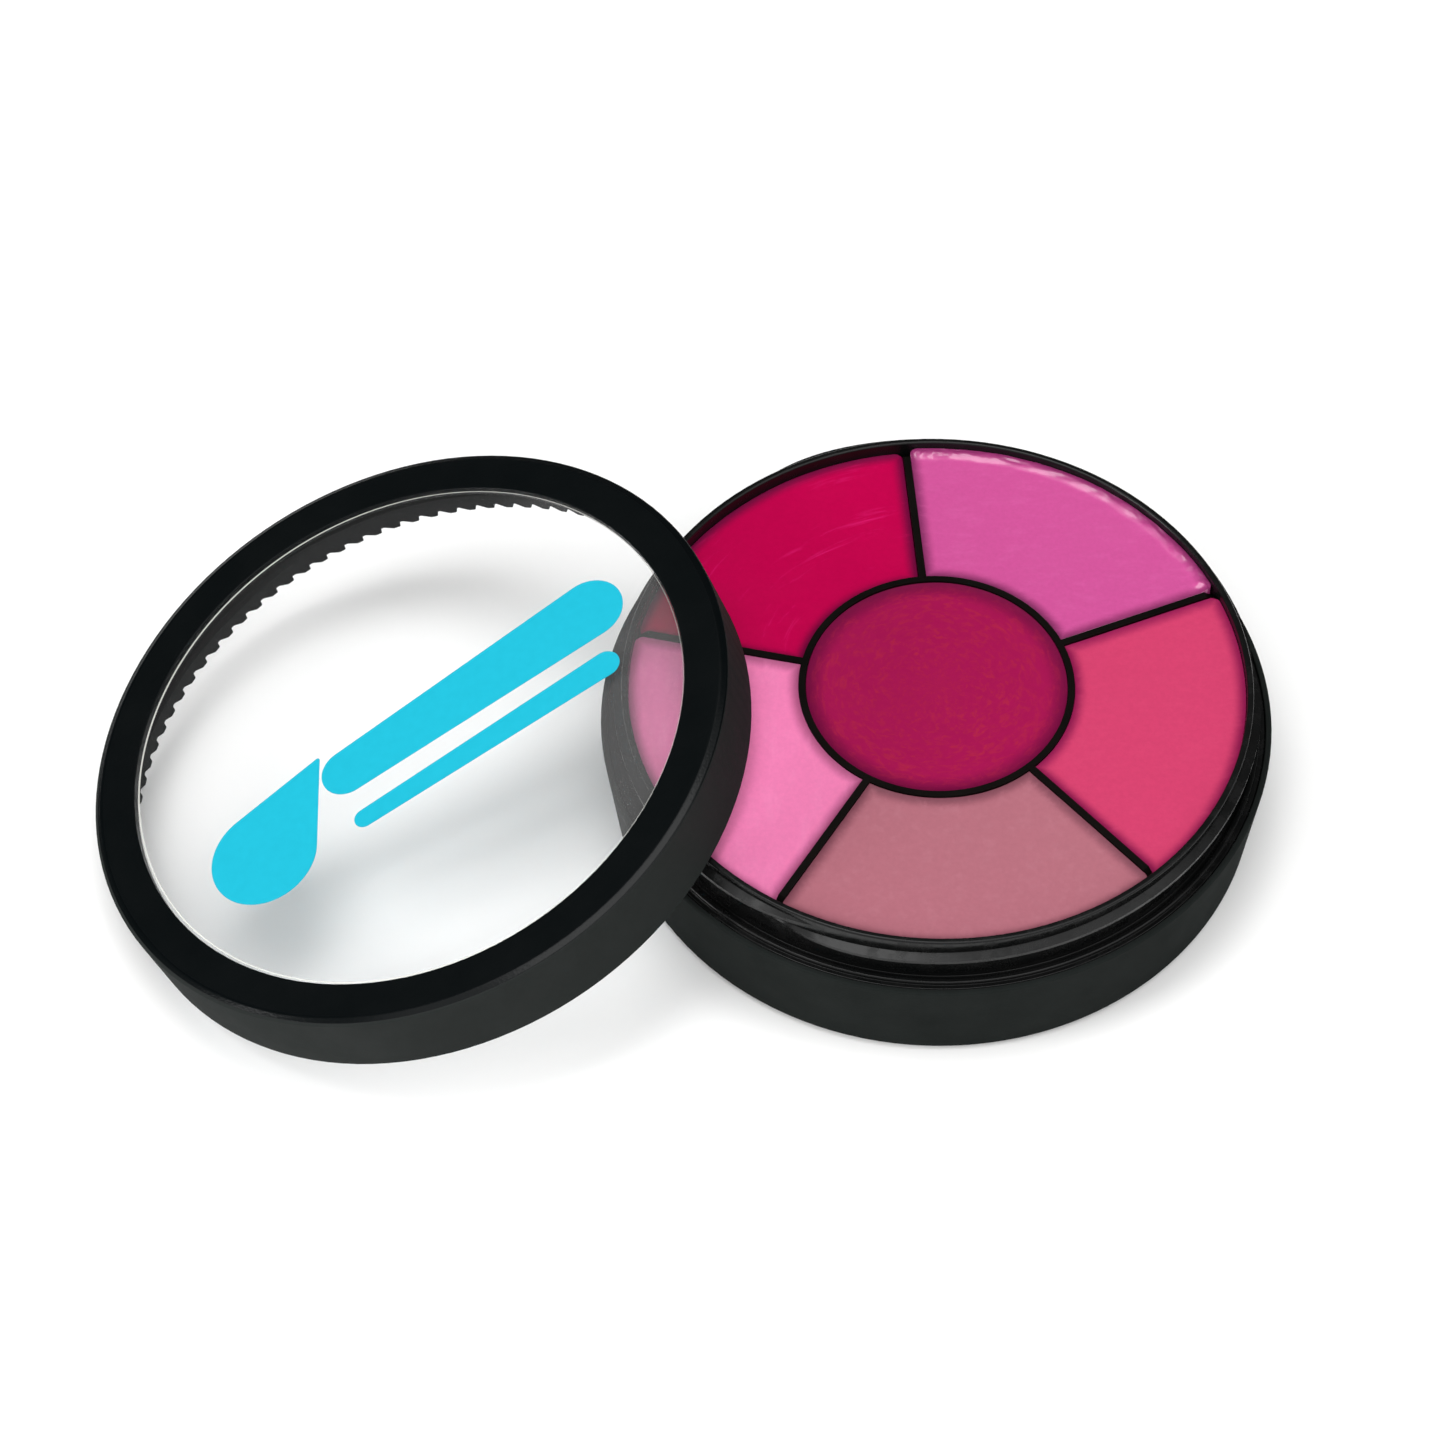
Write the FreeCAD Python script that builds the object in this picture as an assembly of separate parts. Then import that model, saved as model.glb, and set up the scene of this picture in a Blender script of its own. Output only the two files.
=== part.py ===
import FreeCAD, Part
import math
import os

# A round cream palette in a low screw-top jar, with its clear-window lid off and leaning on the jar.
# Millimetres, +Z up. The origin is on the jar's axis, on the plane that the jar stands on.
# The lid is drawn upright on its own axis, with its skirt's lower edge at zero, and then leaned.

# Jar, from the outside in
WALL_RADIUS = 38.0
LEDGE_HEIGHT = 13.4
RIM_HEIGHT = 19.6
RIM_RADIUS = 35.45
RIM_THICKNESS = 0.75
FOOT_RADIUS = 36.7
FOOT_ROUNDING = 1.6
FOOT_RECESS_RADIUS = 32.5
FOOT_RECESS_DEPTH = 0.5
SHELL_THICKNESS = 1.0
SHELL_LIP_THICKNESS = 0.7
SHELL_STEP_DEPTH = 1.3
FIT_GAP = 0.1
FLANGE_DROP = 0.15
BEAD_RADIUS = 36.3
BEAD_WIDTH = 0.7
BEAD_HEIGHT = 0.45
CUP_FLOOR_TOP = 10.1
CUP_FLOOR_THICKNESS = 1.2

# Edge roundings, from the sharpest moulded edge to the softest
CRISP = 0.12
SOFT = 0.25
BLUNT = 0.35
CUP_BOTTOM_ROUNDING = 0.8
SHELL_FLOOR_ROUNDING = 1.0
BEAD_ROUNDING = 0.22
BEAD_ROOT_ROUNDING = 0.06
LID_FACE_ROUNDING = 0.6

# Thread on the neck and in the lid
THREAD_STARTS = 3
THREAD_FIRST_ANGLE = 235.0
THREAD_SWEEP = 132.0
THREAD_LEAD = 4.8
THREAD_FADE = 14.0
NECK_THREAD_CREST = 36.4
NECK_THREAD_HEIGHT = 16.8
LID_THREAD_CREST = 35.75
LID_THREAD_HEIGHT = 2.3
THREAD_CREST_WIDTH = 0.45
THREAD_ROOT_WIDTH = 1.3
THREAD_SECTIONS = 15
THREAD_EMBED = 0.3

# Divider insert and the six creams
DIVIDER_TOP = 18.65
RING_OUTER_RADIUS = 15.5
RING_THICKNESS = 0.75
DIVIDER_THICKNESS = 0.8
DIVIDER_END_GAP = 0.15
DIVIDER_END_CUT = 1.1
CORAL_TO_ORCHID = 20.4
ORCHID_TO_CRIMSON = 92.9
CRIMSON_TO_PINK = 165.6
PINK_TO_DUSTY = 236.9
DUSTY_TO_CORAL = 309.65
CREAM_GAP = 0.05
CENTRE_CREAM_TOP = 18.2
SECTOR_CREAMS = {
    "cream_orchid": (CORAL_TO_ORCHID, ORCHID_TO_CRIMSON, 18.4),
    "cream_crimson": (ORCHID_TO_CRIMSON, CRIMSON_TO_PINK, 17.7),
    "cream_light_pink": (CRIMSON_TO_PINK, PINK_TO_DUSTY, 18.25),
    "cream_dusty_rose": (PINK_TO_DUSTY, DUSTY_TO_CORAL, 18.25),
    "cream_coral_rose": (DUSTY_TO_CORAL, CORAL_TO_ORCHID + 360, 18.2),
}

# Lid, on its own axis
LID_RADIUS = 37.8
LID_HEIGHT = 9.0
LID_FACE_RADIUS = 36.95
LID_BEVEL_DROP = 0.35
LID_SKIRT_THICKNESS = 0.7
LID_TOP_THICKNESS = 1.1
WINDOW_OPENING_RADIUS = 32.8
WINDOW_BOSS_GAP = 0.1
WINDOW_SINK = 0.3
WINDOW_FLANGE_RADIUS = 36.6
WINDOW_FLANGE_THICKNESS = 0.7
LINER_THICKNESS = 0.55
LINER_SEAT_RADIUS = 34.1
LINER_SEAT_UNDERSIDE = 6.6
SKIRT_EDGE_ROUNDING = 0.2
TOOTH_COUNT = 96
TOOTH_DEPTH = 0.75

# The lid's leaning place: its lower edge on the table, its skirt over the jar's rim
LEAN_DIRECTION = 184.4
LEAN_DISTANCE = 57.2
LEAN_CLEARANCE = 0.12

LINER_OUTER_RADIUS = LID_RADIUS - LID_SKIRT_THICKNESS - FIT_GAP / 2
LINER_INNER_RADIUS = LINER_OUTER_RADIUS - LINER_THICKNESS
CUP_INNER_RADIUS = RIM_RADIUS - RIM_THICKNESS
CUP_FLANGE_RADIUS = WALL_RADIUS - SHELL_LIP_THICKNESS - FIT_GAP
Z_AXIS = FreeCAD.Vector(0, 0, 1)


def rounded_edges(corners, place):
    """Edges of a closed outline of (x, y, rounding) corners, each rounding a tangent arc."""
    points = [FreeCAD.Vector(x, y, 0) for x, y, _ in corners]
    stops = []
    for i, (_, _, rounding) in enumerate(corners):
        here = points[i]
        if rounding == 0:
            stops.append((here, None, here))
            continue
        back = (points[i - 1] - here).normalize()
        ahead = (points[(i + 1) % len(points)] - here).normalize()
        half_angle = back.getAngle(ahead) / 2
        reach = rounding / math.tan(half_angle)
        inward = (back + ahead).normalize()
        middle = here + inward * (rounding / math.sin(half_angle) - rounding)
        stops.append((here + back * reach, middle, here + ahead * reach))
    edges = []
    for i, (start, middle, end) in enumerate(stops):
        if middle is not None:
            edges.append(Part.Arc(place(start), place(middle), place(end)).toShape())
        next_start = stops[(i + 1) % len(stops)][0]
        edges.append(Part.LineSegment(place(end), place(next_start)).toShape())
    return edges


def turned(corners):
    """Solid of revolution about Z from (radius, height, rounding) corners."""
    wire = Part.Wire(rounded_edges(corners, lambda p: FreeCAD.Vector(p.x, 0, p.y)))
    return Part.Face(wire).revolve(FreeCAD.Vector(0, 0, 0), Z_AXIS, 360)


def radial_point(radius, height, degrees):
    angle = math.radians(degrees)
    return FreeCAD.Vector(radius * math.cos(angle), radius * math.sin(angle), height)


def thread_ridge(wall_radius, crest_radius, start_height, start_angle):
    """One thread run that grows out of the wall, climbs and fades back into it."""
    side = math.copysign(1, crest_radius - wall_radius)
    root = wall_radius - side * THREAD_EMBED
    sections = []
    for i in range(THREAD_SECTIONS):
        turn = THREAD_SWEEP * i / (THREAD_SECTIONS - 1)
        fade = min(1.0, turn / THREAD_FADE, (THREAD_SWEEP - turn) / THREAD_FADE)
        sunk = wall_radius - side * THREAD_EMBED / 2
        crest = sunk + (crest_radius - sunk) * fade
        height = start_height + THREAD_LEAD * turn / 360
        outline = (
            (root, height - THREAD_ROOT_WIDTH / 2),
            (crest, height - THREAD_CREST_WIDTH / 2),
            (crest, height + THREAD_CREST_WIDTH / 2),
            (root, height + THREAD_ROOT_WIDTH / 2),
        )
        corners = [radial_point(r, z, start_angle + turn) for r, z in outline]
        sections.append(Part.makePolygon(corners + corners[:1]))
    return Part.makeLoft(sections, True, False)


def with_threads(wall, wall_radius, crest_radius, start_height):
    ridges = []
    for i in range(THREAD_STARTS):
        angle = THREAD_FIRST_ANGLE + 360 * i / THREAD_STARTS
        ridges.append(thread_ridge(wall_radius, crest_radius, start_height, angle))
    return wall.fuse(ridges)


def base_shell():
    """Matte outer jar: drafted wall, foot ring, and a step inside that carries the cup."""
    lip_inner = WALL_RADIUS - SHELL_LIP_THICKNESS
    step_height = LEDGE_HEIGHT - SHELL_STEP_DEPTH
    step_inner = lip_inner - SHELL_THICKNESS
    floor_top = FOOT_RECESS_DEPTH + SHELL_THICKNESS
    return turned((
        (0, FOOT_RECESS_DEPTH, 0),
        (FOOT_RECESS_RADIUS - FOOT_RECESS_DEPTH, FOOT_RECESS_DEPTH, 0),
        (FOOT_RECESS_RADIUS, 0, 0),
        (FOOT_RADIUS, 0, FOOT_ROUNDING),
        (WALL_RADIUS, LEDGE_HEIGHT, SOFT),
        (lip_inner, LEDGE_HEIGHT, CRISP),
        (lip_inner, step_height, 0),
        (step_inner, step_height, 0),
        (FOOT_RADIUS - SHELL_THICKNESS, floor_top, SHELL_FLOOR_ROUNDING),
        (0, floor_top, 0),
    ))


def inner_cup():
    """Glossy cup that hangs in the shell by its flange, with the threaded neck above it."""
    flange_top = LEDGE_HEIGHT - FLANGE_DROP
    flange_bottom = LEDGE_HEIGHT - SHELL_STEP_DEPTH
    bead_outer = BEAD_RADIUS + BEAD_WIDTH / 2
    bead_inner = BEAD_RADIUS - BEAD_WIDTH / 2
    cup_bottom = CUP_FLOOR_TOP - CUP_FLOOR_THICKNESS
    cup = turned((
        (0, cup_bottom, 0),
        (RIM_RADIUS, cup_bottom, CUP_BOTTOM_ROUNDING),
        (RIM_RADIUS, flange_bottom, 0),
        (CUP_FLANGE_RADIUS, flange_bottom, 0),
        (CUP_FLANGE_RADIUS, flange_top, CRISP),
        (bead_outer, flange_top, BEAD_ROOT_ROUNDING),
        (bead_outer, flange_top + BEAD_HEIGHT, BEAD_ROUNDING),
        (bead_inner, flange_top + BEAD_HEIGHT, BEAD_ROUNDING),
        (bead_inner, flange_top, BEAD_ROOT_ROUNDING),
        (RIM_RADIUS, flange_top, CRISP),
        (RIM_RADIUS, RIM_HEIGHT, SOFT),
        (CUP_INNER_RADIUS, RIM_HEIGHT, SOFT),
        (CUP_INNER_RADIUS, CUP_FLOOR_TOP, 0),
        (0, CUP_FLOOR_TOP, 0),
    ))
    return with_threads(cup, RIM_RADIUS, NECK_THREAD_CREST, NECK_THREAD_HEIGHT)


def divider_wall(degrees):
    """Upright strip from the centre ring to the cup, its outer top corner cut on a slant."""
    start = RING_OUTER_RADIUS - RING_THICKNESS / 2
    end = CUP_INNER_RADIUS - DIVIDER_END_GAP
    outline = (
        (start, CUP_FLOOR_TOP, 0),
        (end, CUP_FLOOR_TOP, 0),
        (end, DIVIDER_TOP - DIVIDER_END_CUT, 0),
        (end - DIVIDER_END_CUT, DIVIDER_TOP, 0),
        (start, DIVIDER_TOP, 0),
    )
    edges = rounded_edges(outline, lambda p: FreeCAD.Vector(p.x, -DIVIDER_THICKNESS / 2, p.y))
    strip = Part.Face(Part.Wire(edges)).extrude(FreeCAD.Vector(0, DIVIDER_THICKNESS, 0))
    strip.rotate(FreeCAD.Vector(0, 0, 0), Z_AXIS, degrees)
    return strip


def divider_insert():
    ring = turned((
        (RING_OUTER_RADIUS, CUP_FLOOR_TOP, 0),
        (RING_OUTER_RADIUS, DIVIDER_TOP, 0),
        (RING_OUTER_RADIUS - RING_THICKNESS, DIVIDER_TOP, 0),
        (RING_OUTER_RADIUS - RING_THICKNESS, CUP_FLOOR_TOP, 0),
    ))
    return ring.fuse([divider_wall(start) for start, _, _ in SECTOR_CREAMS.values()]).removeSplitter()


def centre_cream():
    radius = RING_OUTER_RADIUS - RING_THICKNESS - CREAM_GAP
    return Part.makeCylinder(radius, CENTRE_CREAM_TOP - CUP_FLOOR_TOP, FreeCAD.Vector(0, 0, CUP_FLOOR_TOP))


def sector_cream(start_degrees, end_degrees, top):
    """Cream that fills one outer well, clear of its two dividers by the cream gap."""
    inset = DIVIDER_THICKNESS / 2 + CREAM_GAP
    radii = (RING_OUTER_RADIUS + CREAM_GAP, CUP_INNER_RADIUS - CREAM_GAP)
    middle = (start_degrees + end_degrees) / 2
    corners = []
    for radius in radii:
        swing = math.degrees(math.asin(inset / radius))
        corners.append((radius, start_degrees + swing, middle, end_degrees - swing))
    arcs = []
    for radius, first, centre, last in corners:
        points = [radial_point(radius, CUP_FLOOR_TOP, angle) for angle in (first, centre, last)]
        arcs.append(points)
    edges = [
        Part.Arc(*arcs[0]).toShape(),
        Part.LineSegment(arcs[0][2], arcs[1][2]).toShape(),
        Part.Arc(*reversed(arcs[1])).toShape(),
        Part.LineSegment(arcs[1][0], arcs[0][0]).toShape(),
    ]
    return Part.Face(Part.Wire(edges)).extrude(FreeCAD.Vector(0, 0, top - CUP_FLOOR_TOP))


def lid_bezel():
    """Outer lid: skirt, bevelled edge and flat face round the window opening."""
    inner = LID_RADIUS - LID_SKIRT_THICKNESS
    top_underside = LID_HEIGHT - LID_TOP_THICKNESS
    return turned((
        (LID_RADIUS, 0, SKIRT_EDGE_ROUNDING),
        (LID_RADIUS, LID_HEIGHT - LID_BEVEL_DROP, BLUNT),
        (LID_FACE_RADIUS, LID_HEIGHT, LID_FACE_ROUNDING),
        (WINDOW_OPENING_RADIUS, LID_HEIGHT, CRISP),
        (WINDOW_OPENING_RADIUS, top_underside, 0),
        (inner, top_underside, 0),
        (inner, 0, CRISP),
    ))


def lid_window():
    """Clear disc: a raised boss that fills the opening, and a flange held under the bezel."""
    underside = LID_HEIGHT - LID_TOP_THICKNESS - WINDOW_FLANGE_THICKNESS
    boss_radius = WINDOW_OPENING_RADIUS - WINDOW_BOSS_GAP
    return turned((
        (0, underside, 0),
        (WINDOW_FLANGE_RADIUS, underside, 0),
        (WINDOW_FLANGE_RADIUS, underside + WINDOW_FLANGE_THICKNESS, 0),
        (boss_radius, underside + WINDOW_FLANGE_THICKNESS, 0),
        (boss_radius, LID_HEIGHT - WINDOW_SINK, SOFT),
        (0, LID_HEIGHT - WINDOW_SINK, 0),
    ))


def tooth_notch(index):
    """Cutter between two teeth: one steep side and one long slope, with rounded tooth tips."""
    pitch = 2 * math.pi * LINER_OUTER_RADIUS / TOOTH_COUNT
    outline = (
        (-0.16 * pitch, 0, 0),
        (0, 0, 0.18),
        (0.03 * pitch, TOOTH_DEPTH, 0.12),
        (0.20 * pitch, TOOTH_DEPTH, 0.2),
        (0.64 * pitch, 0, 0.3),
        (0.80 * pitch, 0, 0),
        (0.80 * pitch, -1, 0),
        (-0.16 * pitch, -1, 0),
    )
    start = LINER_INNER_RADIUS - 1
    edges = rounded_edges(outline, lambda p: FreeCAD.Vector(start, -p.x, p.y))
    notch = Part.Face(Part.Wire(edges)).extrude(FreeCAD.Vector(LINER_THICKNESS + 2, 0, 0))
    notch.rotate(FreeCAD.Vector(0, 0, 0), Z_AXIS, 360 * index / TOOTH_COUNT)
    return notch


def lid_liner():
    """Threaded inner skirt with a toothed lower edge, and the seat that traps the window."""
    seat_top = LID_HEIGHT - LID_TOP_THICKNESS - WINDOW_FLANGE_THICKNESS
    ring = turned((
        (LINER_INNER_RADIUS, 0, 0),
        (LINER_OUTER_RADIUS, 0, 0),
        (LINER_OUTER_RADIUS, seat_top, 0),
        (LINER_SEAT_RADIUS, seat_top, CRISP),
        (LINER_SEAT_RADIUS, LINER_SEAT_UNDERSIDE, CRISP),
        (LINER_INNER_RADIUS, LINER_SEAT_UNDERSIDE, SOFT),
    ))
    toothed = ring.cut(Part.makeCompound([tooth_notch(i) for i in range(TOOTH_COUNT)]))
    return with_threads(toothed, LINER_INNER_RADIUS, LID_THREAD_CREST, LID_THREAD_HEIGHT)


def crossing_height(lean):
    """Height at which the liner's lower edge crosses the rim's outer edge, for a given lean."""
    centre_height = LID_RADIUS * math.sin(lean)
    low, high = 0.0, math.pi
    for _ in range(60):
        swing = (low + high) / 2
        along = LEAN_DISTANCE - LINER_INNER_RADIUS * math.cos(swing) * math.cos(lean)
        across = LINER_INNER_RADIUS * math.sin(swing)
        if math.hypot(along, across) < RIM_RADIUS:
            low = swing
        else:
            high = swing
    return centre_height + LINER_INNER_RADIUS * math.cos(low) * math.sin(lean)


def lean_angle():
    """Lean that lays the skirt on the rim while its far edge stands on the table."""
    low, high = math.radians(5), math.radians(35)
    for _ in range(60):
        lean = (low + high) / 2
        if crossing_height(lean) < RIM_HEIGHT + LEAN_CLEARANCE:
            low = lean
        else:
            high = lean
    return low


def leaned(shape):
    lean = lean_angle()
    rounding = SKIRT_EDGE_ROUNDING
    height = (LID_RADIUS - rounding) * math.sin(lean) + rounding * (1 - math.cos(lean))
    direction = radial_point(1, 0, LEAN_DIRECTION)
    place = direction * LEAN_DISTANCE + FreeCAD.Vector(0, 0, height)
    turn = FreeCAD.Rotation(Z_AXIS.cross(direction), math.degrees(lean))
    shape.Placement = FreeCAD.Placement(place, turn)
    return shape


def main():
    parts = {
        "base_shell": base_shell(),
        "inner_cup": inner_cup(),
        "divider_insert": divider_insert(),
        "cream_centre": centre_cream(),
        "lid_bezel": leaned(lid_bezel()),
        "lid_window": leaned(lid_window()),
        "lid_liner": leaned(lid_liner()),
    }
    for name, (start, end, top) in SECTOR_CREAMS.items():
        parts[name] = sector_cream(start, end, top)
    os.makedirs("parts", exist_ok=True)
    for name, shape in parts.items():
        shape.exportStep("parts/" + name + ".step")
        box = shape.BoundBox
        size = tuple(round(v, 2) for v in (box.XLength, box.YLength, box.ZLength))
        print(name, len(shape.Solids), shape.isValid(), round(shape.Volume, 1), size)
    print("lean", round(math.degrees(lean_angle()), 2))


main()
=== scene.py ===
import math

import bpy
import numpy as np
from mathutils import Matrix, Vector, noise


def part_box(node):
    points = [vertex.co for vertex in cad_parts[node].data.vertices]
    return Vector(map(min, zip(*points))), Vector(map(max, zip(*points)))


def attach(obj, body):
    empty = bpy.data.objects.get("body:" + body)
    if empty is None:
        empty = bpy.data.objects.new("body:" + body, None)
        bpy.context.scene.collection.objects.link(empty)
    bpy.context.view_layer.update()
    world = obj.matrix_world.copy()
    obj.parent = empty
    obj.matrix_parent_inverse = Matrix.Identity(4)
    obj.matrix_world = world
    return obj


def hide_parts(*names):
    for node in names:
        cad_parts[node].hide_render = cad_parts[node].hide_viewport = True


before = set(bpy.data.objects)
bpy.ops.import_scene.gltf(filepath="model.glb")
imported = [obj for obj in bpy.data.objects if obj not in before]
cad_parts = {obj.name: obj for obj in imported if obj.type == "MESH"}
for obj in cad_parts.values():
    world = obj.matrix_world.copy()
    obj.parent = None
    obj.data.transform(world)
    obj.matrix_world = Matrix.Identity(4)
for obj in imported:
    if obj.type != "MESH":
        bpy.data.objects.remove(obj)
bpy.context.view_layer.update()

MM = 0.001

# Camera: its place from the jar's axis at the table, and how it looks down
CAMERA_PLACE = Vector((-24.18, -269.57, 378.38)) * MM
CAMERA_ELEVATION = math.radians(53.62)
CAMERA_ROLL = math.radians(1.59)
CAMERA_LENS = 99.65
CAMERA_SENSOR = 36.0

# Wells of the jar: the walls' thickness, and the angle in degrees where each outer divider stands
RING_THICKNESS = 0.75 * MM
DIVIDER_HALF = 0.4 * MM
CREAM_GAP = 0.05 * MM
CORNER_ROUNDING = 0.9 * MM
CORAL_TO_ORCHID = 20.4
ORCHID_TO_CRIMSON = 92.9
CRIMSON_TO_PINK = 165.6
PINK_TO_DUSTY = 236.9
DUSTY_TO_CORAL = 309.65

# Meshes of the creams: their grids, and how far the lines crowd towards the walls
WELL_ROWS, WELL_COLUMNS = 60, 90
CENTRE_RINGS, CENTRE_SPOKES = 44, 120
GRID_CROWDING = 0.85
DISH_REACH = 6 * MM
WALL_ATTRIBUTE = "wall_distance"

# Relief of the creams: the scales are noise units to the metre
SWELL_SCALE = 90
BRUSH_SCALE_X, BRUSH_SCALE_Y = 260, 700
BRUSH_SHARE = 0.35
PIT_SCALE = 900
PIT_THRESHOLD = 0.62
PIT_STEEPNESS = 4

# Lip of orchid cream along the jar's rim, and the bead where it meets the coral well
LIP_HEIGHT = 0.40 * MM
LIP_SHARE, LIP_SWING = 0.6, 0.5
LIP_ROUGHNESS = 0.20 * MM
LIP_INSET = 0.6 * MM
LIP_WIDTH = 0.6 * MM
LIP_SCALE, LIP_FINE_SCALE = 420, 1800
BEAD_ANGLE = math.radians(CORAL_TO_ORCHID + 3.2)
BEAD_INSET = 1.2 * MM
BEAD_HEIGHT = 0.35 * MM
BEAD_WIDTH = 0.5 * MM

# Lid: its radii, and where the masks of its bevel and skirt fade in
WINDOW_RADIUS = 32.7 * MM
BEVEL_INNER_RADIUS = 36.95 * MM
LID_RADIUS = 37.8 * MM
BEVEL_FADE = (BEVEL_INNER_RADIUS - 0.2 * MM, BEVEL_INNER_RADIUS + 0.1 * MM)
BEVEL_POLISH = 0.5
SKIRT_FADE = (LID_RADIUS - 0.26 * MM, LID_RADIUS - 0.16 * MM)
SKIRT_MATTNESS = 2.8

# Window: how milky it is along its slope, and the painted highlight line round its upper edge
WINDOW_TONE = 0.72
WINDOW_HAZE = 0.012
# Haze at the top of the slope: the window is milkier there than lower down
WINDOW_UPSLOPE_HAZE = 0.045
WINDOW_HAZE_FADE = (-10 * MM, -24 * MM)
EDGE_RADIUS = WINDOW_RADIUS - 0.18 * MM
EDGE_FADE = (0.14 * MM, 0.07 * MM)
EDGE_DEPTH_FADE = (-0.4 * MM, -0.2 * MM)
EDGE_OPACITY = 0.55

# Printed mark, in millimetres; where the drop's sides meet is counted in radii of the drop
PRINT_GAP = 0.01
PRINT_THICKNESS = 0.04
DROP_SIDES_MEET = 2.1
DROP_TIP_RADIUS = 0.25
DROP_TIP_SETBACK = 0.35

# Floor: half its width, and how far it lies under the jar's foot
FLOOR_HALF = 1.5
FLOOR_DROP = 0.05 * MM

# How bright the studio light makes a white face, with 1 the brightest the display shows
LIGHT_LEVEL = 1.3

# Brightness of the surroundings behind the jar and in front of it, and where one fades to the other
WORLD_BEHIND = 0.14
WORLD_IN_FRONT = 0.80
WORLD_FADE = (0.35, -0.45)

# Lamps: name, shape, place, the point they face, size and watts
LAMPS = (
    ("overhead", "DISK", (-0.02, -0.2, 0.9), (0, 0, 0), (1.5, 1.5), 5.8),
    ("edge", "RECTANGLE", (-0.15, 0.02, 0.92), (-0.15, 0.02, 0), (0.6, 0.34), 2.6),
    ("left", "RECTANGLE", (-0.9, -0.30, 0.36), (-0.03, 0, 0), (0.4, 0.4), 5.0),
    ("right", "RECTANGLE", (0.5, -0.45, 0.85), (0, 0, 0), (0.9, 0.9), 2.4),
)
EDGE_LAMP_TURN = math.radians(35)


# Colours

def linear(red, green, blue):
    """Linear colour from 8-bit display values."""
    def one(value):
        value = value / 255
        return value / 12.92 if value <= 0.04045 else ((value + 0.055) / 1.055) ** 2.4
    return one(red), one(green), one(blue), 1.0


def wax(red, green, blue):
    """Linear colour of a cream that shows as these display values under the studio light."""
    value = linear(red, green, blue)
    return value[0] / LIGHT_LEVEL, value[1] / LIGHT_LEVEL, value[2] / LIGHT_LEVEL, 1.0


def grey(value):
    return (value, value, value, 1.0)


# Painted sheen: the skirt's paler colour stands in for the light its side reflects from the floor around
# it
SKIRT_PAINTED_SHEEN = linear(33, 36, 35)
# Pale colour of the painted highlight line round the window's upper edge, where light catches it
PAINTED_EDGE_HIGHLIGHT = linear(225, 226, 218)


# Shader nodes

def new_material(name):
    material = bpy.data.materials.new(name)
    material.use_nodes = True
    tree = material.node_tree
    shader = tree.nodes["Principled BSDF"]
    return material, tree, shader


def feed(tree, socket, value):
    """Link a socket to the input, or set the input to a constant."""
    if isinstance(value, bpy.types.NodeSocket):
        tree.links.new(value, socket)
    else:
        socket.default_value = value


def object_coordinates(tree):
    return tree.nodes.new("ShaderNodeTexCoord").outputs["Object"]


def calculate(tree, operation, *values):
    node = tree.nodes.new("ShaderNodeMath")
    node.operation = operation
    for socket, value in zip(node.inputs, values):
        feed(tree, socket, value)
    return node.outputs["Value"]


def vector_node(tree, operation, *values):
    node = tree.nodes.new("ShaderNodeVectorMath")
    node.operation = operation
    for socket, value in zip(node.inputs, values):
        feed(tree, socket, value)
    return node


def fade(tree, value, span, low=0.0, high=1.0, smooth=False):
    """A value that goes from low to high while the input crosses the span."""
    node = tree.nodes.new("ShaderNodeMapRange")
    if smooth:
        node.interpolation_type = "SMOOTHSTEP"
    node.inputs["From Min"].default_value = span[0]
    node.inputs["From Max"].default_value = span[1]
    node.inputs["To Min"].default_value = low
    node.inputs["To Max"].default_value = high
    tree.links.new(value, node.inputs["Value"])
    return node.outputs["Result"]


def blend(tree, factor, first, second):
    """Mix of two plain values."""
    node = tree.nodes.new("ShaderNodeMix")
    feed(tree, node.inputs[0], factor)
    feed(tree, node.inputs[2], first)
    feed(tree, node.inputs[3], second)
    return node.outputs[0]


def colour_mix(tree, factor, first, second, blend_type="MIX"):
    """Mix of two colours, each a socket or a constant."""
    node = tree.nodes.new("ShaderNodeMix")
    node.data_type = "RGBA"
    node.blend_type = blend_type
    feed(tree, node.inputs[0], factor)
    feed(tree, node.inputs[6], first)
    feed(tree, node.inputs[7], second)
    return node.outputs[2]


def noise_texture(tree, vector, scale, detail, roughness):
    texture = tree.nodes.new("ShaderNodeTexNoise")
    texture.inputs["Scale"].default_value = scale
    texture.inputs["Detail"].default_value = detail
    texture.inputs["Roughness"].default_value = roughness
    tree.links.new(vector, texture.inputs["Vector"])
    return texture


def noise_node(tree, scale, detail=3.0, roughness=0.5, stretch=None):
    """Noise in the object's space; stretch multiplies the scale along each axis."""
    vector = object_coordinates(tree)
    if stretch is not None:
        mapping = tree.nodes.new("ShaderNodeMapping")
        mapping.inputs["Scale"].default_value = stretch
        tree.links.new(vector, mapping.inputs["Vector"])
        vector = mapping.outputs["Vector"]
    return noise_texture(tree, vector, scale, detail, roughness)


def polar_noise(tree, across, along, detail, roughness):
    """Noise in rings round the jar's axis: fine across the rings, long along them."""
    flat = vector_node(tree, "MULTIPLY", object_coordinates(tree), (1, 1, 0)).outputs["Vector"]
    radius = vector_node(tree, "LENGTH", flat).outputs["Value"]
    turn = vector_node(tree, "NORMALIZE", flat).outputs["Vector"]
    around = vector_node(tree, "SCALE", turn)
    around.inputs["Scale"].default_value = along
    lift = tree.nodes.new("ShaderNodeCombineXYZ")
    tree.links.new(calculate(tree, "MULTIPLY", radius, across), lift.inputs["Z"])
    place = vector_node(tree, "ADD", around.outputs["Vector"], lift.outputs["Vector"])
    return noise_texture(tree, place.outputs["Vector"], 1.0, detail, roughness)


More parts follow.
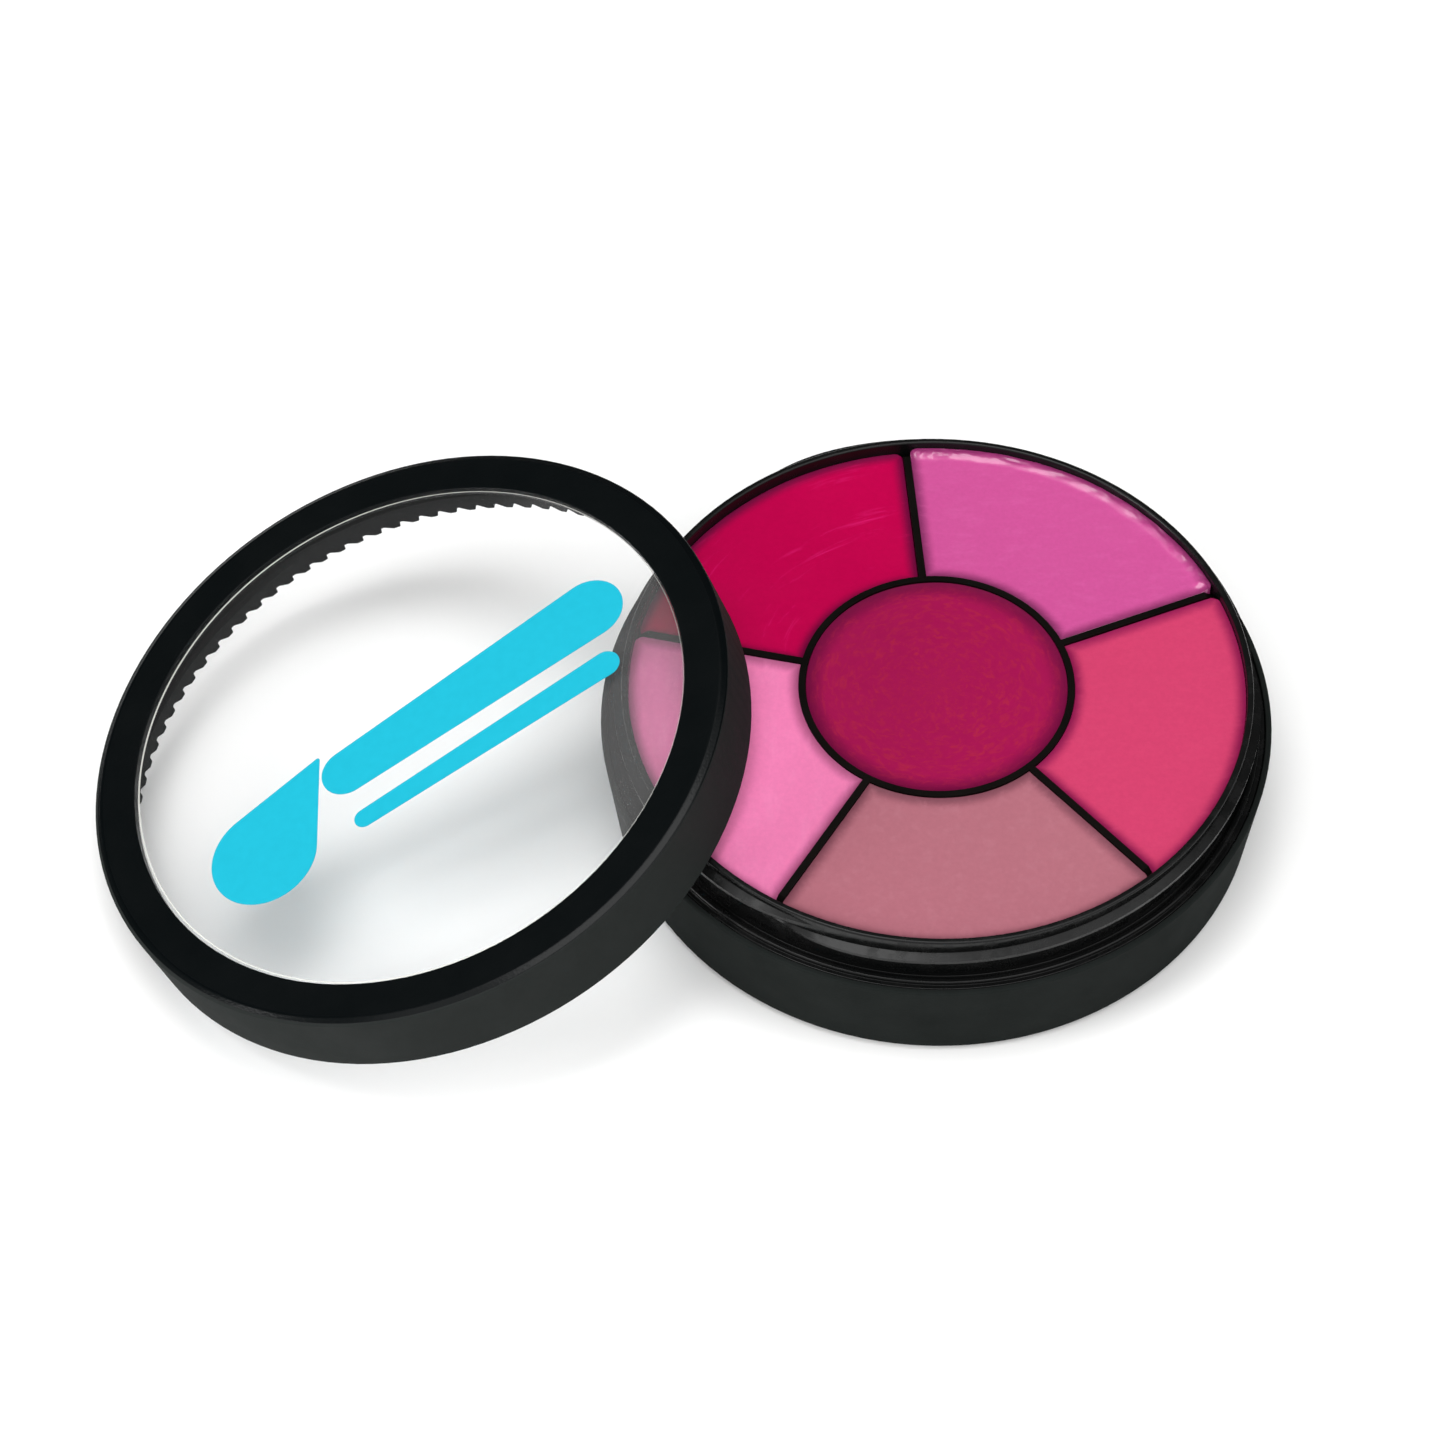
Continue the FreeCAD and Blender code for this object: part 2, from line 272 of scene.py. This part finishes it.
def ramp_node(tree, source, *stops):
    """Colour ramp; each stop is its place and its colour."""
    ramp = tree.nodes.new("ShaderNodeValToRGB")
    elements = ramp.color_ramp.elements
    for element, (position, colour) in zip(elements, stops):
        element.position = position
        element.color = colour
    tree.links.new(source, ramp.inputs["Fac"])
    return ramp


def add_bump(tree, shader, texture, strength, distance, previous=None):
    bump = tree.nodes.new("ShaderNodeBump")
    bump.inputs["Strength"].default_value = strength
    bump.inputs["Distance"].default_value = distance
    tree.links.new(texture.outputs["Fac"], bump.inputs["Height"])
    if previous is not None:
        tree.links.new(previous.outputs["Normal"], bump.inputs["Normal"])
    tree.links.new(bump.outputs["Normal"], shader.inputs["Normal"])
    return bump


def paint(tree, shader, input_name, texture, *stops):
    """Drive one of the shader's inputs with a texture through a ramp."""
    ramp = ramp_node(tree, texture.outputs["Fac"], *stops)
    tree.links.new(ramp.outputs["Color"], shader.inputs[input_name])


# Materials

def plastic(name, dark, light, rough, grain, grain_depth, level):
    """Moulded black plastic: fine grain, faint cloudy tone and uneven gloss."""
    material, tree, shader = new_material(name)
    clouds = noise_node(tree, scale=160, detail=4)
    paint(tree, shader, "Base Color", clouds, (0.3, dark), (0.72, light))
    smudge = noise_node(tree, scale=90, detail=5, roughness=0.6)
    paint(tree, shader, "Roughness", smudge, (0.35, grey(rough - 0.04)), (0.7, grey(rough + 0.05)))
    shader.inputs["IOR"].default_value = 1.5
    shader.inputs["Specular IOR Level"].default_value = level
    add_bump(tree, shader, noise_node(tree, scale=grain, detail=2), strength=0.35, distance=grain_depth)
    return material


def lid_place():
    """Lid's own frame, read from its window: Z out of the top face, X down the slope."""
    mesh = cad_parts["lid_window"].data
    largest = max(mesh.polygons, key=lambda face: face.area if face.normal.z > 0.5 else 0)
    normal = largest.normal.copy()
    level = max(normal.dot(vertex.co) for vertex in mesh.vertices)
    top = [vertex.co for vertex in mesh.vertices if level - normal.dot(vertex.co) < 0.01 * MM]
    centre = sum(top, Vector()) / len(top)
    across = Vector((0, 0, 1)).cross(normal).normalized()
    downhill = across.cross(normal)
    matrix = Matrix((downhill, across, normal)).transposed().to_4x4()
    return Matrix.Translation(centre) @ matrix


def lid_radius(tree, place):
    """Sockets that give a point's distance from the lid's own axis, and its place on the lid."""
    mapping = tree.nodes.new("ShaderNodeMapping")
    back = place.inverted()
    mapping.inputs["Location"].default_value = back.to_translation()
    mapping.inputs["Rotation"].default_value = back.to_euler()
    tree.links.new(object_coordinates(tree), mapping.inputs["Vector"])
    flat = vector_node(tree, "MULTIPLY", mapping.outputs["Vector"], (1, 1, 0))
    radius = vector_node(tree, "LENGTH", flat.outputs["Vector"])
    return radius.outputs["Value"], mapping.outputs["Vector"]


def polish_bevel(material, place):
    """Smooth gloss on the lid's bevel, and a matt finish on its skirt, whose paler colour is painted
    sheen.
    """
    tree = material.node_tree
    shader = tree.nodes["Principled BSDF"]
    rough = shader.inputs["Roughness"].links[0].from_socket
    tone = shader.inputs["Base Color"].links[0].from_socket
    radius, _ = lid_radius(tree, place)
    bevel = fade(tree, radius, BEVEL_FADE, low=1.0, high=BEVEL_POLISH)
    skirt = fade(tree, radius, SKIRT_FADE)
    # Painted sheen: the skirt is coloured paler than the face, though both are the same plastic.
    tree.links.new(colour_mix(tree, skirt, tone, SKIRT_PAINTED_SHEEN), shader.inputs["Base Color"])
    share = blend(tree, skirt, bevel, SKIRT_MATTNESS)
    tree.links.new(calculate(tree, "MULTIPLY", rough, share), shader.inputs["Roughness"])


def neck_plastic():
    """Glossy neck of the cup, with fine turned lines and uneven gloss as from smears of wax."""
    material, tree, shader = new_material("cup_plastic")
    clouds = noise_node(tree, scale=160, detail=4)
    paint(tree, shader, "Base Color", clouds, (0.3, linear(9, 10, 10)), (0.72, linear(14, 14, 14)))
    smears = noise_node(tree, scale=420, detail=6, roughness=0.7)
    paint(tree, shader, "Roughness", smears, (0.45, grey(0.17)), (0.62, grey(0.34)))
    shader.inputs["IOR"].default_value = 1.5
    shader.inputs["Specular IOR Level"].default_value = 0.2
    lines = polar_noise(tree, across=2600, along=3, detail=3, roughness=0.6)
    turned = add_bump(tree, shader, lines, strength=0.2, distance=0.02 * MM)
    beads = noise_node(tree, scale=700, detail=3)
    add_bump(tree, shader, beads, strength=0.2, distance=0.03 * MM, previous=turned)
    return material


def cream(name, body, edge, fleck, changes):
    """Wax cream: painted shade near the walls, flecked streaks, mottling and a waxy gloss."""
    values = {"rough": 0.4, "level": 0.12, "streak": (0.5, 0.8), "scale": 420, "stretch": (1.0, 2.4, 1.0)}
    values.update(changes)
    material, tree, shader = new_material(name)
    from_wall = tree.nodes.new("ShaderNodeAttribute")
    from_wall.attribute_name = WALL_ATTRIBUTE
    # Painted shade: towards the walls the colour darkens to the edge colour, standing in for the walls'
    # shadow on the cream.
    shade = ramp_node(tree, from_wall.outputs["Fac"], (0.0, edge), (1.0, body))
    shade.color_ramp.interpolation = "EASE"
    if "rings" in values:
        across, along = values["rings"]
        strokes = polar_noise(tree, across, along, detail=5, roughness=0.68)
        strokes.inputs["Distortion"].default_value = 0.9
    else:
        strokes = noise_node(tree, values["scale"], detail=6, roughness=0.62, stretch=values["stretch"])
    low, high = values["streak"]
    amount = ramp_node(tree, strokes.outputs["Fac"], (low, grey(0.0)), (high, grey(1.0)))
    inside = calculate(tree, "MULTIPLY", amount.outputs["Color"], from_wall.outputs["Fac"])
    streaked = colour_mix(tree, inside, shade.outputs["Color"], fleck)
    mottle = noise_node(tree, scale=1900, detail=4, roughness=0.6)
    spots = ramp_node(tree, mottle.outputs["Fac"], (0.35, grey(0.94)), (0.65, grey(1.0)))
    mottled = colour_mix(tree, 1.0, streaked, spots.outputs["Color"], "MULTIPLY")
    tree.links.new(mottled, shader.inputs["Base Color"])
    rough = values["rough"]
    bloom = noise_node(tree, scale=210, detail=4)
    paint(tree, shader, "Roughness", bloom, (0.3, grey(rough - 0.06)), (0.75, grey(rough + 0.1)))
    shader.inputs["IOR"].default_value = 1.45
    shader.inputs["Specular IOR Level"].default_value = values["level"]
    fine = noise_node(tree, scale=1500, detail=3, roughness=0.6)
    first = add_bump(tree, shader, fine, strength=0.2, distance=0.03 * MM)
    broad = noise_node(tree, scale=260, detail=4, roughness=0.55, stretch=(1.0, 2.0, 1.0))
    add_bump(tree, shader, broad, strength=0.25, distance=0.10 * MM, previous=first)
    return material


def clear_plastic(place):
    """Clear moulded disc: a haze that grows up the slope, fine scuffs and a painted highlight line along
    its upper edge.
    """
    material, tree, shader = new_material("clear_plastic")
    radius, on_lid = lid_radius(tree, place)
    axes = tree.nodes.new("ShaderNodeSeparateXYZ")
    tree.links.new(on_lid, axes.inputs["Vector"])
    # Painted highlight: a pale, less clear line round the window's upper edge stands in for light caught
    # there.
    off_edge = calculate(tree, "ABSOLUTE", calculate(tree, "SUBTRACT", radius, EDGE_RADIUS))
    line = fade(tree, off_edge, EDGE_FADE)
    upper = fade(tree, axes.outputs["Z"], EDGE_DEPTH_FADE)
    edge = calculate(tree, "MULTIPLY", line, upper)
    colour = colour_mix(tree, edge, grey(WINDOW_TONE), PAINTED_EDGE_HIGHLIGHT)
    tree.links.new(colour, shader.inputs["Base Color"])
    haze = fade(tree, axes.outputs["X"], WINDOW_HAZE_FADE, WINDOW_HAZE, WINDOW_UPSLOPE_HAZE, smooth=True)
    tree.links.new(blend(tree, edge, haze, EDGE_OPACITY), shader.inputs["Alpha"])
    shader.inputs["IOR"].default_value = 1.49
    shader.inputs["Specular IOR Level"].default_value = 0.3
    scuffs = noise_node(tree, scale=400, detail=6, roughness=0.7, stretch=(1.0, 6.0, 1.0))
    paint(tree, shader, "Roughness", scuffs, (0.4, grey(0.08)), (0.8, grey(0.22)))
    add_bump(tree, shader, noise_node(tree, scale=60, detail=2), strength=0.2, distance=0.2 * MM)
    return material


def ink():
    """Printed ink, very slightly uneven."""
    material, tree, shader = new_material("print_ink")
    dots = noise_node(tree, scale=900, detail=3)
    paint(tree, shader, "Base Color", dots, (0.3, wax(26, 183, 209)), (0.8, wax(29, 188, 214)))
    shader.inputs["Roughness"].default_value = 0.4
    shader.inputs["Specular IOR Level"].default_value = 0.2
    add_bump(tree, shader, dots, strength=0.1, distance=0.01 * MM)
    return material


def dress(node, material):
    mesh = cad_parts[node].data
    mesh.materials.clear()
    mesh.materials.append(material)


# Mesh pieces

def new_piece(name, vertices, faces, material, body, smooth=True):
    mesh = bpy.data.meshes.new(name)
    mesh.from_pydata([tuple(v) for v in vertices], [], faces)
    mesh.validate()
    mesh.update()
    piece = bpy.data.objects.new(name, mesh)
    bpy.context.scene.collection.objects.link(piece)
    mesh.materials.append(material)
    for polygon in mesh.polygons:
        polygon.use_smooth = smooth
    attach(piece, body)
    return piece


def mark_walls(piece, from_wall):
    """Store each vertex's distance from the nearest wall: 0 at the wall and 1 well inside."""
    attribute = piece.data.attributes.new(WALL_ATTRIBUTE, "FLOAT", "POINT")
    attribute.data.foreach_set("value", from_wall)


def spaced(count, crowd):
    """Values from 0 to 1 that crowd towards both ends."""
    steps = np.linspace(0, 1, count)
    eased = steps - np.sin(2 * math.pi * steps) / (2 * math.pi)
    return steps * (1 - crowd) + eased * crowd


def cream_style(slot, seed, changes):
    values = {
        "slot": slot,
        "seed": seed,
        "waves": 0.07 * MM,
        "pits": 0.08 * MM,
        "climb": 0.18 * MM,
        "climb_width": 0.45 * MM,
        "dish": 0.06 * MM,
        "shade_width": 1.6 * MM,
    }
    values.update(changes)
    return values


def cream_relief(x, y, style):
    """Gentle swell, brush waves and small pits of a cream's surface."""
    seed = style["seed"]
    swell = noise.noise(Vector((x * SWELL_SCALE, y * SWELL_SCALE, seed)))
    brush = noise.noise(Vector((x * BRUSH_SCALE_X, y * BRUSH_SCALE_Y, seed + 5)))
    height = style["waves"] * (swell + BRUSH_SHARE * brush)
    pit = noise.noise(Vector((x * PIT_SCALE, y * PIT_SCALE, seed + 9)))
    if pit > PIT_THRESHOLD:
        height -= style["pits"] * (pit - PIT_THRESHOLD) * PIT_STEEPNESS
    return height


def cream_height(x, y, wall, style):
    """Height of a cream's surface over its CAD top: it climbs at the walls and dishes inside."""
    rise = style["climb"] * math.exp(-wall / style["climb_width"])
    droop = style["dish"] * min(1.0, wall / DISH_REACH)
    height = rise - droop + cream_relief(x, y, style)
    if "ridge" in style:
        height += style["ridge"](x, y)
    return height


def orchid_ridge(x, y):
    """Uneven lip of cream that stands up along the jar's rim."""
    from_rim = WELL_RADIUS - math.hypot(x, y)
    ragged = LIP_SHARE + LIP_SWING * noise.noise(Vector((x * LIP_SCALE, y * LIP_SCALE, 21.0)))
    fine = noise.noise(Vector((x * LIP_FINE_SCALE, y * LIP_FINE_SCALE, 22.0)))
    height = LIP_HEIGHT * ragged + LIP_ROUGHNESS * fine
    lip = height * math.exp(-((from_rim - LIP_INSET) / LIP_WIDTH) ** 2)
    bead_radius = WELL_RADIUS - BEAD_INSET
    away = math.hypot(x - bead_radius * math.cos(BEAD_ANGLE), y - bead_radius * math.sin(BEAD_ANGLE))
    return lip + BEAD_HEIGHT * math.exp(-(away / BEAD_WIDTH) ** 2)


def cream_piece(node, outline, style, material):
    """Closed cream body: a shaped top sheet, with sides down to the cup's floor.

    outline(u, v) gives a place on the top and its distance to the nearest wall."""
    low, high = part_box(node)
    rows, columns = WELL_ROWS, WELL_COLUMNS
    vertices = []
    from_wall = []
    for u in spaced(rows, GRID_CROWDING):
        for v in spaced(columns, GRID_CROWDING):
            x, y, wall = outline(u, v)
            vertices.append((x, y, high[2] + cream_height(x, y, wall, style)))
            from_wall.append(min(1.0, wall / style["shade_width"]))
    faces = []
    for i in range(rows - 1):
        for j in range(columns - 1):
            a = i * columns + j
            faces.append((a, a + columns, a + columns + 1, a + 1))
    border = list(range(columns))
    border += [i * columns + columns - 1 for i in range(1, rows)]
    border += [(rows - 1) * columns + j for j in range(columns - 2, -1, -1)]
    border += [i * columns for i in range(rows - 2, 0, -1)]
    below = []
    for index in border:
        x, y, _ = vertices[index]
        below.append(len(vertices))
        vertices.append((x, y, low[2] + CREAM_GAP))
        from_wall.append(0.0)
    for k in range(len(border)):
        following = (k + 1) % len(border)
        faces.append((border[k], border[following], below[following], below[k]))
    faces.append(tuple(below))
    piece = new_piece(node + "_surface", vertices, faces, material, "base")
    piece.data.polygons[len(faces) - 1].use_smooth = False
    mark_walls(piece, from_wall)
    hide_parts(node)


def centre_piece(style, material):
    """Round centre cream: rings of vertices out to the divider ring."""
    low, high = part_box("cream_centre")
    radius = high[0]
    rings, spokes = CENTRE_RINGS, CENTRE_SPOKES
    vertices = [(0, 0, high[2] + cream_height(0, 0, radius, style))]
    from_wall = [1.0]
    for i in range(1, rings + 1):
        r = radius * math.sin(math.pi / 2 * i / rings)
        for j in range(spokes):
            angle = 2 * math.pi * j / spokes
            x, y, wall = r * math.cos(angle), r * math.sin(angle), radius - r
            vertices.append((x, y, high[2] + cream_height(x, y, wall, style)))
            from_wall.append(min(1.0, wall / style["shade_width"]))
    faces = [(0, 1 + j, 1 + (j + 1) % spokes) for j in range(spokes)]
    for i in range(rings - 1):
        for j in range(spokes):
            a = 1 + i * spokes + j
            b = 1 + i * spokes + (j + 1) % spokes
            faces.append((a, a + spokes, b + spokes, b))
    last = 1 + (rings - 1) * spokes
    below = []
    for j in range(spokes):
        x, y, _ = vertices[last + j]
        below.append(len(vertices))
        vertices.append((x, y, low[2] + CREAM_GAP))
        from_wall.append(0.0)
    for j in range(spokes):
        k = (j + 1) % spokes
        faces.append((last + j, below[j], below[k], last + k))
    faces.append(tuple(reversed(below)))
    piece = new_piece("cream_centre_surface", vertices, faces, material, "base")
    mark_walls(piece, from_wall)
    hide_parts("cream_centre")


def ring_inner_radius():
    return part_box("cream_centre")[1][0] + CREAM_GAP


def well_radius():
    """How far the outer creams reach, measured on the crimson one."""
    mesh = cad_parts["cream_crimson"].data
    return max(math.hypot(vertex.co.x, vertex.co.y) for vertex in mesh.vertices)


WELL_RADIUS = well_radius()


def sector_outline(start, end):
    """Outline of an outer well between two dividers, its outer corners rounded."""
    inner = ring_inner_radius() + RING_THICKNESS + CREAM_GAP
    outer = WELL_RADIUS
    inset = DIVIDER_HALF + CREAM_GAP

    def place(u, v):
        radius = inner + (outer - inner) * u
        from_rim = outer - radius
        pulled = 0.0
        if from_rim < CORNER_ROUNDING:
            pulled = CORNER_ROUNDING - math.sqrt(CORNER_ROUNDING ** 2 - (CORNER_ROUNDING - from_rim) ** 2)
        low = start + math.asin((inset + pulled) / radius)
        high = end - math.asin((inset + pulled) / radius)
        angle = low + (high - low) * v
        sides = radius * min(math.sin(angle - start), math.sin(end - angle)) - inset
        wall = max(0.0, min(radius - inner, from_rim, sides))
        return radius * math.cos(angle), radius * math.sin(angle), wall
    return place


# Printed mark on the window: a plain drop and two tapered bars along one slant

def arc_points(centre_x, centre_y, radius, start, end, count):
    points = []
    for i in range(count + 1):
        angle = math.radians(start + (end - start) * i / count)
        points.append((centre_x + radius * math.cos(angle), centre_y + radius * math.sin(angle)))
    return points


def bar_outline(length, first_radius, last_radius):
    """Rounded bar that widens from one end to the other."""
    lean = math.degrees(math.asin((last_radius - first_radius) / length))
    far_end = arc_points(length, 0, last_radius, -90 - lean, 90 + lean, 24)
    near_end = arc_points(0, 0, first_radius, 90 + lean, 270 - lean, 24)
    return far_end + near_end


def drop_outline(radius):
    """Round drop whose sides run straight to a small rounded tip."""
    tip = radius * DROP_SIDES_MEET
    touch = math.degrees(math.asin(radius / tip))
    points = arc_points(0, 0, radius, touch, -180 - touch, 48)
    return points + arc_points(0, tip - DROP_TIP_SETBACK, DROP_TIP_RADIUS, 150, 30, 4)


def printed(name, outline, x, y, turn, material, lid):
    """Thin ink shape on the window, placed on the lid's own axes in millimetres."""
    sheet = Matrix.Translation((x, y, 0)) @ Matrix.Rotation(math.radians(turn), 4, "Z")
    vertices = []
    for level in (PRINT_GAP, PRINT_GAP + PRINT_THICKNESS):
        for px, py in outline:
            local = sheet @ Vector((px, py, level))
            vertices.append(lid @ (local * MM))
    count = len(outline)
    faces = [tuple(range(count - 1, -1, -1)), tuple(range(count, 2 * count))]
    for i in range(count):
        k = (i + 1) % count
        faces.append((i, k, count + k, count + i))
    return new_piece(name, vertices, faces, material, "lid", smooth=False)


# Scene

def make_camera():
    data = bpy.data.cameras.new("camera")
    data.sensor_width = CAMERA_SENSOR
    data.lens = CAMERA_LENS
    camera = bpy.data.objects.new("camera", data)
    bpy.context.scene.collection.objects.link(camera)
    look = Matrix.Rotation(math.pi / 2 - CAMERA_ELEVATION, 4, "X") @ Matrix.Rotation(-CAMERA_ROLL, 4, "Z")
    camera.matrix_world = Matrix.Translation(CAMERA_PLACE) @ look
    bpy.context.scene.camera = camera


def make_floor():
    half = FLOOR_HALF
    corners = [(-half, -half, 0), (half, -half, 0), (half, half, 0), (-half, half, 0)]
    mesh = bpy.data.meshes.new("floor")
    mesh.from_pydata(corners, [], [(0, 1, 2, 3)])
    floor = bpy.data.objects.new("floor", mesh)
    floor.location.z = -FLOOR_DROP
    bpy.context.scene.collection.objects.link(floor)
    material, _, shader = new_material("floor_paper")
    shader.inputs["Base Color"].default_value = (0.93, 0.93, 0.925, 1)
    shader.inputs["Roughness"].default_value = 0.9
    shader.inputs["Specular IOR Level"].default_value = 0.1
    mesh.materials.append(material)


def area_light(name, shape, place, aim, size, watts):
    data = bpy.data.lights.new(name, "AREA")
    data.shape = shape
    data.size, data.size_y = size
    data.energy = watts
    light = bpy.data.objects.new(name, data)
    light.location = place
    direction = Vector(aim) - Vector(place)
    light.rotation_euler = direction.to_track_quat("-Z", "Y").to_euler()
    bpy.context.scene.collection.objects.link(light)
    return light


def make_light():
    """Soft studio: surroundings that pale from back to front, and four large lamps."""
    world = bpy.data.worlds.new("world")
    bpy.context.scene.world = world
    world.use_nodes = True
    tree = world.node_tree
    background = tree.nodes["Background"]
    background.inputs["Color"].default_value = (1, 1, 1, 1)
    direction = tree.nodes.new("ShaderNodeTexCoord")
    parts = tree.nodes.new("ShaderNodeSeparateXYZ")
    tree.links.new(direction.outputs["Generated"], parts.inputs["Vector"])
    strength = fade(tree, parts.outputs["Y"], WORLD_FADE, WORLD_BEHIND, WORLD_IN_FRONT, smooth=True)
    tree.links.new(strength, background.inputs["Strength"])
    lamps = {row[0]: area_light(*row) for row in LAMPS}
    lamps["edge"].rotation_euler = (0, 0, EDGE_LAMP_TURN)


def dress_cad(place):
    """Materials of the six CAD pieces that stay visible."""
    shell = plastic("shell_plastic", dark=linear(25, 28, 27), light=linear(30, 33, 32),
                    rough=0.80, grain=3200, grain_depth=0.06 * MM, level=0.025)
    insert = plastic("insert_plastic", dark=linear(7, 5, 4), light=linear(13, 10, 8),
                     rough=0.42, grain=2400, grain_depth=0.04 * MM, level=0.05)
    bezel = plastic("lid_plastic", dark=linear(2, 5, 6), light=linear(4, 7, 8),
                    rough=0.34, grain=3200, grain_depth=0.04 * MM, level=0.12)
    polish_bevel(bezel, place)
    liner = plastic("liner_plastic", dark=linear(6, 8, 9), light=linear(9, 12, 12),
                    rough=0.5, grain=2400, grain_depth=0.04 * MM, level=0.04)
    dress("base_shell", shell)
    dress("inner_cup", neck_plastic())
    dress("divider_insert", insert)
    dress("lid_bezel", bezel)
    dress("lid_liner", liner)
    dress("lid_window", clear_plastic(place))


def make_creams():
    # The second colour of each cream is painted shade, laid along the walls of its well.
    berry = cream("berry_cream", wax(166, 19, 81), wax(116, 12, 62), wax(182, 40, 66),
                  {"rings": (1500, 7), "streak": (0.49, 0.73), "rough": 0.5, "level": 0.05})
    crimson = cream("crimson_cream", wax(198, 3, 77), wax(120, 10, 64), wax(216, 24, 104),
                    {"rings": (700, 2), "streak": (0.60, 0.74), "rough": 0.36, "level": 0.04})
    orchid = cream("orchid_cream", wax(214, 85, 157), wax(146, 50, 106), wax(220, 94, 164),
                   {"rough": 0.14, "level": 0.7})
    coral = cream("coral_cream", wax(212, 66, 110), wax(150, 28, 82), wax(215, 70, 113), {"level": 0.06})
    dusty = cream("dusty_cream", wax(181, 110, 124), wax(124, 68, 82), wax(187, 118, 132),
                  {"scale": 900, "stretch": (1.0, 1.0, 1.0)})
    pink = cream("pink_cream", wax(247, 132, 185), wax(176, 86, 130), wax(250, 142, 192),
                 {"scale": 300, "stretch": (2.2, 0.6, 1.0)})

    centre = {"waves": 0.10 * MM, "pits": 0.10 * MM, "climb": 0.22 * MM, "climb_width": 0.5 * MM,
              "dish": 0.0, "shade_width": 2.6 * MM}
    centre_piece(cream_style("cream_berry", 3.0, centre), berry)
    raised = {"waves": 0.10 * MM, "ridge": orchid_ridge}
    wells = (
        ("cream_orchid", CORAL_TO_ORCHID, ORCHID_TO_CRIMSON, orchid, 7.0, raised),
        ("cream_crimson", ORCHID_TO_CRIMSON, CRIMSON_TO_PINK, crimson, 11.0, {}),
        ("cream_light_pink", CRIMSON_TO_PINK, PINK_TO_DUSTY, pink, 13.0, {}),
        ("cream_dusty_rose", PINK_TO_DUSTY, DUSTY_TO_CORAL, dusty, 17.0, {}),
        ("cream_coral_rose", DUSTY_TO_CORAL, CORAL_TO_ORCHID + 360, coral, 19.0, {}),
    )
    for node, start, end, material, seed, changes in wells:
        outline = sector_outline(math.radians(start), math.radians(end))
        cream_piece(node, outline, cream_style(node, seed, changes), material)


def make_print(place):
    """The mark's three shapes: name, outline, place in millimetres and turn in degrees."""
    blue = ink()
    printed("print_drop", drop_outline(6.3), 17.6, 12.0, 148, blue, place)
    printed("print_wide_bar", bar_outline(32.5, 3.0, 4.0), 7.4, 3.7, 203.5, blue, place)
    printed("print_thin_bar", bar_outline(31.5, 1.2, 1.7), 5.6, 10.6, 202.0, blue, place)


def main():
    place = lid_place()
    dress_cad(place)
    make_creams()
    make_print(place)
    make_floor()
    make_light()
    make_camera()
    bpy.context.scene.view_settings.view_transform = "Standard"


main()
